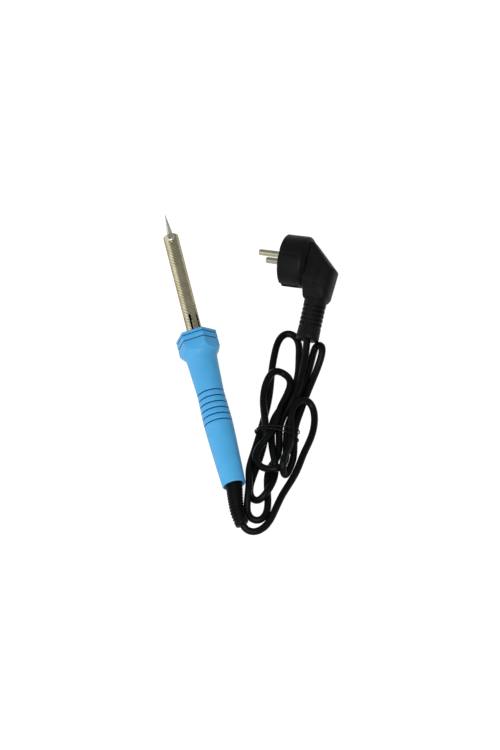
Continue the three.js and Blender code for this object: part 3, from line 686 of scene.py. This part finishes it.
def make_relief():
    """Ribbed rubber sleeve that guides the lead out of the handle."""
    route = smooth_route(RELIEF_PATH, 40)
    reach = [0]
    for a, b in zip(route, route[1:]):
        reach.append(reach[-1] + (b - a).length)
    pitch = (RELIEF_LENGTH - RELIEF_ROOT - RELIEF_CUFF) / RELIEF_RIBS
    stations = [0, 0.4, 2, 4, 5.2]
    for rib in range(RELIEF_RIBS):
        stations += [RELIEF_ROOT + (rib + part) * pitch
                     for part in (0.03, 0.15, 0.29, 0.35, 0.41, 0.47, 0.53, 0.68, 0.83, 0.89, 0.95)]
    stations += [RELIEF_LENGTH - back for back in (3.95, 3.5, 2, 0.6, 0.2, 0)]
    sides = 64
    rings = []
    for s in stations:
        place = s / RELIEF_LENGTH * reach[-1]
        i = max(k for k in range(len(reach) - 1) if reach[k] <= place)
        along = (route[i + 1] - route[i]).normalized()
        centre = route[i] + along * (place - reach[i])
        side = along.cross(Vector((0, 0, 1))).normalized()
        top = side.cross(along)
        rings.append([])
        for k in range(sides):
            angle = 2 * pi * k / sides
            radius = relief_radius(s) - relief_groove(s, angle)
            rings[-1].append(centre + (side * cos(angle) + top * sin(angle)) * radius)
    return piece("relief_sleeve", skin(rings), BENCH, RELIEF_RUBBER, sharp=50)


def ring_route(centre, radius, start, sweep):
    """Points round a small eye that faces the camera's side, from a start angle through a sweep."""
    right = Vector((0.9735, -0.2289, 0))
    up = Vector((0.2021, 0.8595, 0.4695))
    return [Vector(centre) + (right * cos(radians(start + sweep * i / 12))
                              + up * sin(radians(start + sweep * i / 12))) * radius for i in range(13)]


def make_tie():
    """Plastic covered wire, wound twice round the bundle, with an eye at each end."""
    eye = ring_route((29.0, -74.6, 3.4), 1.35, 20, 320)
    far_eye = ring_route((56.2, -88.6, 4.6), 1.6, 120, -300)
    route = smooth_route([*eye, *TIE_TURNS, *far_eye], 5)
    return piece("tie_wire", skin(tube_rings(route, 0.5, 10)), BENCH, TIE_PLASTIC, sharp=60)


# ---- handle ----

def hexagon(angle, flat):
    """Radius of a hexagon with rounded corners, at an angle from one of its corners."""
    off_corner = abs((angle + pi / 6) % (pi / 3) - pi / 6)
    centre = (flat - FLANGE_ROUNDING) / cos(pi / 6)
    on_flat = pi / 6 - atan2((flat - FLANGE_ROUNDING) * tan(pi / 6), flat)
    if off_corner > on_flat:
        return flat / cos(pi / 6 - off_corner)
    return centre * cos(off_corner) + sqrt(FLANGE_ROUNDING ** 2 - (centre * sin(off_corner)) ** 2)


def across_groove(half):
    """Offsets and depths right across a groove, from those of one half."""
    return [(-off, depth) for off, depth in reversed(half)] + half


def grip_radius(y):
    """Radius of the grip at a distance from the rear rim, on a smooth line through its given radii."""
    before = [GRIP[0], *GRIP]
    after = [*GRIP[2:], GRIP[-1]]
    for (y0, r0), (y1, r1), (y2, r2), (y3, r3) in zip(before, GRIP, GRIP[1:], after):
        if y <= y2:
            t = (y - y1) / (y2 - y1)
            leave = (r2 - r0) / (y2 - y0) * (y2 - y1)
            arrive = (r3 - r1) / (y3 - y1) * (y2 - y1)
            return ((2 * t ** 3 - 3 * t ** 2 + 1) * r1 + (t ** 3 - 2 * t ** 2 + t) * leave
                    + (3 * t ** 2 - 2 * t ** 3) * r2 + (t ** 3 - t ** 2) * arrive)
    return GRIP[-1][1]


def make_handle():
    """Hollow blue shell: a grip with ring grooves and a hexagonal flange with two grooves round it."""
    corner_steps = (0, 0.9, 1.8, 3, 5.5, 9, 13, 17, 21, 25.5)
    angles = sorted(radians(60 * k + side * step) % (2 * pi)
                    for k in range(6) for side in (-1, 1) for step in corner_steps if step or side > 0)
    angles = sorted(angles + [radians(60 * k + 30) for k in range(6)])
    rows = []  # each row is a ring of (radius, y), one for each angle

    def round_row(radius, y):
        rows.append([(radius, y)] * len(angles))

    for radius, y in ((7.4, 60), (7.4, 13), (6.6, 10), (6.6, 5.1), (7.7, 5), (7.85, 4.8), (7.85, 0.35),
                      (7.95, 0.1), (8.2, 0), (8.6, 0.05), (8.95, 0.28), (9.12, 0.7), (9.2, 1.3)):
        round_row(radius, y)
    for y in (5, 10, 15, 20, 25, 30, 35, 40, 45, 50):
        round_row(grip_radius(y), y)
    for centre in RING_GROOVES:
        for off, depth in across_groove(HALF_RING_GROOVE):
            round_row(grip_radius(centre + off) - depth, centre + off)
    for y in (86, 90, 94, 98, 102, 105):
        round_row(grip_radius(y), y)
    for radius, y in ((12.02, 107.5), (12.25, 109.3), (12.6, 110.9), (13.1, 112.1), (13.6, 112.85)):
        round_row(radius, y)
    edge = [hexagon(a, FLANGE_FLAT) for a in angles]
    edge_y = [FLANGE_START + (r - FLANGE_FLAT) / FLANGE_SLOPE for r in edge]
    for share in (0.35, 0.7, 0.9):
        rows.append([(13.8 + (r - 13.8) * share, 113.05 + (y - 113.05) * share)
                     for r, y in zip(edge, edge_y)])
    rows.append([(r - 0.08, y + 0.05) for r, y in zip(edge, edge_y)])
    rows.append([(r, y + 0.4) for r, y in zip(edge, edge_y)])
    front = [(117.4, 0)]
    for centre in FLANGE_GROOVES:
        front += [(centre + off, depth) for off, depth in across_groove(HALF_FLANGE_GROOVE)]
    front += [(HANDLE_LENGTH - back, inset) for back, inset in (
        (1.1, 0), (0.55, 0.07), (0.2, 0.27), (0.05, 0.55), (0, 0.95))]
    for y, inset in front:
        rows.append([(hexagon(a, FLANGE_FLAT - inset), y) for a in angles])
    for radius, y in ((11.55, 130), (11.35, 129.9), (11.3, 129.7), (11.3, 128.6), (11.2, 128.5),
                      (6.3, 128.5), (6.15, 128.3), (6.15, 114), (7.4, 112)):
        round_row(radius, y)
    rings = [[(r * cos(a), y, r * sin(a)) for (r, y), a in zip(row, angles)] for row in rows]
    obj = piece("handle_blue", skin(rings, loop=True), IRON, BLUE, sharp=60)
    # The "depth" attribute marks where shade is painted into the grooves of the grip and the flange.
    depth = obj.data.attributes.new("depth", "FLOAT", "POINT")
    for vertex, value in zip(obj.data.vertices, depth.data):
        value.value = groove_shade_share(vertex.co / MM)
    return fixed(obj)


def groove_shade_share(point):
    """How far into a groove a point of the handle lies, from 0 on the surface to 1 at the bottom; it sets
    where shade is painted into the grooves.
    """
    radius = sqrt(point.x ** 2 + point.z ** 2)
    off_ring = min(abs(point.y - centre) for centre in RING_GROOVES)
    if off_ring < 1:
        return min(max((grip_radius(point.y) - radius - 0.15) / 0.5, 0), 1)
    off_flange = min(abs(point.y - centre) for centre in FLANGE_GROOVES)
    if off_flange < 0.5 and radius > 12:
        surface = hexagon(atan2(point.z, point.x) % (2 * pi), FLANGE_FLAT)
        return min(max((surface - radius - 0.15) / 0.5, 0), 1)
    return 0


# ---- barrel, tip and screws ----

def make_barrel():
    """Thin nickel tube with six vent slots next to the flange and a rolled front edge."""
    half = VENT_WIDTH / 2
    sector = 2 * pi / VENTS
    per_vent = 10  # corners in a ring for each vent: three across it and seven beside it
    corners = VENTS * per_vent
    rows = [(y, half, BARREL_RADIUS) for y in (98, 105, 112)]
    first_vent_row = len(rows)
    rows += [(y, half, BARREL_RADIUS) for y in (VENT_START, 124, 130, 136, 142, VENT_END)]
    for turn in (25, 45, 62, 76, 86):
        rows.append((VENT_END + half * sin(radians(turn)), half * cos(radians(turn)), BARREL_RADIUS))
    last_vent_row = len(rows) - 1
    rows += [(147.3, 0.1, BARREL_RADIUS), (148.5, 0.3, BARREL_RADIUS), (151, 0.6, BARREL_RADIUS)]
    rows += [(154 + 6.2 * i, half, BARREL_RADIUS) for i in range(11)]
    rows += [(BARREL_END - back, half, radius) for back, radius in (
        (0.6, BARREL_RADIUS), (0.35, 5.8), (0.15, 5.68), (0.03, 5.5), (0, 5.3))]
    bm = bmesh.new()
    rings = []
    for y, width, radius in rows:
        open_angle = asin(width / BARREL_RADIUS)
        between = sector - 2 * open_angle
        angles = []
        for k in range(VENTS):
            middle = pi / 2 + k * sector
            angles += [middle - open_angle, middle, middle + open_angle]
            angles += [middle + open_angle + between * j / 8 for j in range(1, 8)]
        rings.append([bm.verts.new((radius * cos(a), y, radius * sin(a))) for a in angles])
    for r, (low, high) in enumerate(zip(rings, rings[1:])):
        for i in range(corners):
            in_vent = i % per_vent in (0, 1) and first_vent_row <= r < last_vent_row
            if not in_vent:
                j = (i + 1) % corners
                bm.faces.new((low[i], high[i], high[j], low[j]))
    obj = piece("barrel_nickel_tube", bm, IRON, BARREL_METAL)
    wall = obj.modifiers.new("wall", "SOLIDIFY")
    wall.thickness = 0.7 * MM
    wall.offset = -1
    wall.use_even_offset = True
    wall.material_offset = 1
    obj.data.materials.append(BURNT_STEEL)
    settle(obj)
    return combine(obj, [tip_screw_hole()], "DIFFERENCE")


def tip_screw_hole():
    """The radial hole through the barrel's upper wall and the bush."""
    bm = turned([(1.7, 3), (1.7, 9)], 32)
    spin = Matrix.Rotation(radians(TIP_SCREW_TURN), 4, "Y") @ Matrix.Translation((0, TIP_SCREW_PLACE, 0))
    bmesh.ops.transform(bm, matrix=spin @ Matrix.Rotation(pi / 2, 4, "X"), verts=bm.verts)
    return bm


def make_bush():
    """Steel bush that closes the front of the barrel round the tip's shank."""
    outline = eased([(2.8, 205.2, 0.2), (4.85, 205.2, 0.2), (4.85, 217.2, 0.3), (4.1, 217.2, 0.1),
                     (3.9, 216.9, 0.1), (3.3, 216.9, 0.1), (2.8, 217.2, 0.25)], closed=True)
    return combine(piece("bush_steel", turned(outline, 64, loop=True), IRON, PLAIN_STEEL),
                   [tip_screw_hole()], "DIFFERENCE")


def make_tip():
    """Plated copper bit: round shank, short shoulder and a long cone with a blunt point."""
    outline = eased([(0, 165), (2.1, 165, 0.3), (TIP_RADIUS, 166, 0.3), (TIP_RADIUS, 217.9, 0.6),
                     (2.42, 218.6, 0.5), (1.55, 226.5, 3), (0.42, TIP_END - 0.9, 0.5),
                     (0.3, TIP_END - 0.12, 0.15), (0, TIP_END)])
    return piece("tip_bit", turned(outline, 64), IRON, TIP_METAL, sharp=50)


def make_tip_screw():
    """Pan-headed screw with a cross recess and a threaded shank."""
    head = BARREL_RADIUS + 0.3
    outline = [(0, 2.8, 0), (1.1, 2.8, 0.2)]
    for turn in range(9):
        outline += [(1.4, 3.15 + 0.34 * turn, 0.05), (1.2, 3.32 + 0.34 * turn, 0.05)]
    outline += [(1.35, head, 0.05), (2.9, head, 0.15), (2.9, head + 0.95, 0.5), (2.3, head + 1.75, 0.6),
                (1.2, head + 2.1, 0.5), (0, head + 2.1, 0)]
    bm = turned(eased(outline), 48)
    obj = piece("tip_screw_pan", bm, IRON, SCREW_STEEL, sharp=50)
    top = head + 2.1
    arms = [block((0.8, 2.8, 3.5), (0, top, 0)), block((3.5, 2.8, 0.8), (0, top, 0))]
    combine(obj, arms, "DIFFERENCE")
    soften(obj, 0.06, 50)
    turn = Matrix.Rotation(radians(TIP_SCREW_TURN), 4, "Y")
    out = Matrix.Translation((0, TIP_SCREW_PLACE * MM, 0)) @ Matrix.Rotation(pi / 2, 4, "X")
    obj.matrix_world = IRON @ turn @ out
    return obj


def make_disc():
    """Pressed steel disc in the flange's front face that holds the barrel."""
    outline = eased([(6.15, 128.8, 0.1), (11, 128.8, 0.15), (11, 130, 0.35), (10.1, 130, 0.2),
                     (9.9, 129.85, 0.2), (7.2, 129.85, 0.2), (6.9, 130, 0.2), (6.15, 130, 0.2)],
                    closed=True)
    return piece("disc_steel", turned(outline, 96, loop=True), IRON, PLAIN_STEEL)


def make_disc_screw(i):
    """Slotted round-headed screw that holds the mounting disc."""
    outline = [(0, 122, 0), (0.5, 122.4, 0.1)]
    for turn in range(12):
        outline += [(1.2, 123 + 0.55 * turn, 0.06), (0.95, 123.27 + 0.55 * turn, 0.06)]
    outline += [(1.15, 130.3, 0.05), (2.2, 130.3, 0.12), (2.2, 130.85, 0.3), (1.6, 131.45, 0.5),
                (0, 131.6, 0)]
    obj = piece(f"disc_screw_round_{i + 1}", turned(eased(outline), 40), IRON, SCREW_STEEL, sharp=50)
    combine(obj, [block((3.9, 1.2, 0.55), (0, 131.5, 0))], "DIFFERENCE")
    soften(obj, 0.05, 50)
    spin = Matrix.Rotation(2 * pi * i / DISC_SCREWS, 4, "Y")
    obj.matrix_world = IRON @ spin @ Matrix.Translation((0, 0, DISC_SCREW_CIRCLE * MM))
    return obj


# ---- plug ----

def along_x(bm):
    """Turns a shape made along Y so that it lies along X."""
    bmesh.ops.rotate(bm, matrix=Matrix.Rotation(-pi / 2, 3, "Z"), verts=bm.verts)
    return bm


def moved(bm, place):
    """Moves a shape by a distance in its own frame."""
    bmesh.ops.translate(bm, vec=place, verts=bm.verts)
    return bm


def hood():
    """The angled back of the plug: its outline, stacked through its thickness with a rounded back."""
    levels = [(-11, 6.2), (-10.7, 5.2), (-9.8, 3.6), (-8, 1.7), (-5.5, 0.5), (-2, 0), (2, 0), (5.5, 0.5),
              (8, 1.7), (9.8, 3.6), (10.7, 5.2), (11, 6.2)]
    rings = []
    for z, inset in levels:
        trim = max(0, abs(z) - 10.2) * 0.8
        slope = max(0, abs(z) - 7.5) * 1.9
        corners = [(-17, -13.5 + trim, 1), (-22.5 - 0.3 * inset, -15 + 0.35 * inset + trim, 2),
                   (-44.2 + 1.1 * inset, 5.5 + 0.05 * inset, 1.6),
                   (-42.7 + 1.0 * inset, 28 - slope, 1.2), (-40.8 + 0.9 * inset, 31.2 - slope, 0.8),
                   (-23.2 - trim, 31.2 - slope, 1), (-20 - trim, 17, 2.5),
                   (-17, 16.5, 1)]
        rings.append([(*p, z) for p in eased(corners, closed=True)])
    return skin(rings)


def plug_relief():
    """Ribbed sleeve round the lead, with a smooth spine on its upper and lower sides."""
    stations = [(28, 8.9, 0), (31, 8.9, 0), (35.8, 8.9, 0)]
    for i in range(5):
        start = 36.4 + 3.6 * i
        stations += [(start, 8.9, 0), (start + 0.12, 8.86, 0.3), (start + 0.3, 8.86, 1),
                     (start + 1.4, 8.85, 1), (start + 1.6, 8.85, 0.3), (start + 1.75, 8.85, 0)]
    stations += [(56, 8.95, 0), (60, 9.05, 0), (62.2, 9.05, 0), (62.8, 8.8, 0), (63, 8.3, 0)]
    angles = [2 * pi * i / 96 for i in range(96)]
    rings = []
    for y, radius, share in stations:
        ring = []
        for a in angles:
            r = radius - 1.9 * share * min(max((abs(cos(a)) - 0.27) / 0.05, 0), 1)
            ring.append((r * cos(a) - PLUG_RELIEF_SETBACK, y, r * sin(a) * 0.92))
        rings.append(ring)
    return skin(rings)


def make_plug():
    """Moulded plug body: round front with guide grooves, angled hood and ribbed sleeve."""
    disc = eased([(0, -22), (15, -22, 3), (PLUG_RADIUS, -18.5, 3), (PLUG_RADIUS, -0.6, 0.5),
                  (18.4, 0, 0.3), (17.4, 0, 0.2), (17.2, -0.35, 0.2), (0, -0.35)])
    front = along_x(turned(disc, 128))
    for vertex in front.verts:
        vertex.co.y = vertex.co.y * PLUG_LONG_RADIUS / PLUG_RADIUS + PLUG_SHIFT
    obj = piece("plug_moulding", front, PLUG, PLUG_PLASTIC)
    combine(obj, [hood(), plug_relief()], "UNION")
    ridges = []
    for i in range(4):
        x = -27.5 - 2.2 * i
        start = -6 + 3.3 * i
        outline = [(x, start, 0.2), (x + 0.7, start, 0.2), (x + 0.7, 17.5, 0.2), (x, 17.5, 0.2)]
        ridges.append(slab(eased(outline, closed=True), 10.6, 11.35, 0.15))
    combine(obj, ridges, "UNION")
    cutters = []
    for side in (-1, 1):
        guide = block((18, 5, 2.8), (-7, 0.6, side * PLUG_RADIUS))
        clip_recess = block((18, 3, 7), (-7, PLUG_SHIFT + side * PLUG_LONG_RADIUS, 0))
        pin_hole = turned([(PIN_RADIUS + 0.3, -15.9), (PIN_RADIUS + 0.3, -0.9),
                           (PIN_RADIUS + 0.9, 0.2)], 40)
        cutters += [guide, clip_recess, moved(along_x(pin_hole), (0, 0, side * PIN_SPACING / 2))]
    earth_hole = turned([(2.6, -13.9), (2.6, -0.9), (3.2, 0.2)], 40)
    cutters.append(moved(along_x(earth_hole), (0, -10, 0)))
    for x, y in ((-30.7, 19.5), (-37.6, 28.0)):
        cutters.append(block((1.4, 1.4, 1.6), (x, y, 11)))
    combine(obj, cutters, "DIFFERENCE")
    return fixed(soften(obj, 0.3, 40))


def make_pin(i, side):
    """Round plug pin with a domed end and a shallow ring where it meets the body."""
    outline = eased([(0, -15.5), (PIN_RADIUS, -15.5, 0.3), (PIN_RADIUS, 0.5, 0.1), (2.3, 0.7, 0.1),
                     (2.3, 1.1, 0.1), (PIN_RADIUS, 1.3, 0.1), (PIN_RADIUS, PIN_LENGTH, 1.9),
                     (0, PIN_LENGTH)], steps=8)
    pin = moved(along_x(turned(outline, 48)), (0, 0, side * PIN_SPACING / 2))
    return fixed(piece(f"pin_round_{i}", pin, PLUG, PIN_NICKEL, sharp=50))


def make_clip(i, side):
    """Earth clip: a sprung strip in the plug's side, bowed a little outwards, in metal darkened to paint
    shade on it.
    """
    rings = []
    for step in range(21):
        x = -14.9 + 13.8 * step / 20
        bow = 0.15 * sin(pi * step / 20)
        half = 2.15 - 0.6 * max(0, abs(step - 10) - 8.5) ** 2 / 2
        y = PLUG_LONG_RADIUS - 1.4 + bow
        section = eased([(-half, y, 0.12), (half, y, 0.12), (half, y + 0.4, 0.12), (-half, y + 0.4, 0.12)],
                        closed=True, steps=2)
        rings.append([(x, PLUG_SHIFT + side * p[1], p[0]) for p in section])
    return fixed(piece(f"clip_strip_{i}", skin(rings), PLUG, SHADED_CLIP_METAL, sharp=40))


# ---- everything in place ----

lead, lead_length = make_lead()
relief = make_relief()
tie = make_tie()
plug = make_plug()
pins = [make_pin(i, side) for i, side in ((1, 1), (2, -1))]
clips = [make_clip(i, side) for i, side in ((1, 1), (2, -1))]
stands_for(lead, "lead")
stands_for(relief, "strain_relief")
stands_for(tie, "lead_tie")
stands_for(plug, "plug_body")
for i, (pin, clip) in enumerate(zip(pins, clips), start=1):
    stands_for(pin, f"plug_pin_{i}")
    stands_for(clip, f"earth_clip_{i}")

stands_for(make_handle(), "handle_shell")
stands_for(make_barrel(), "barrel_tube")
stands_for(make_bush(), "tip_bush")
stands_for(make_disc(), "mounting_disc")
for i in range(DISC_SCREWS):
    stands_for(make_disc_screw(i), f"disc_screw_{i + 1}")
stands_for(make_tip(), "tip", body="tip")
stands_for(make_tip_screw(), "tip_screw", body="tip_screw")
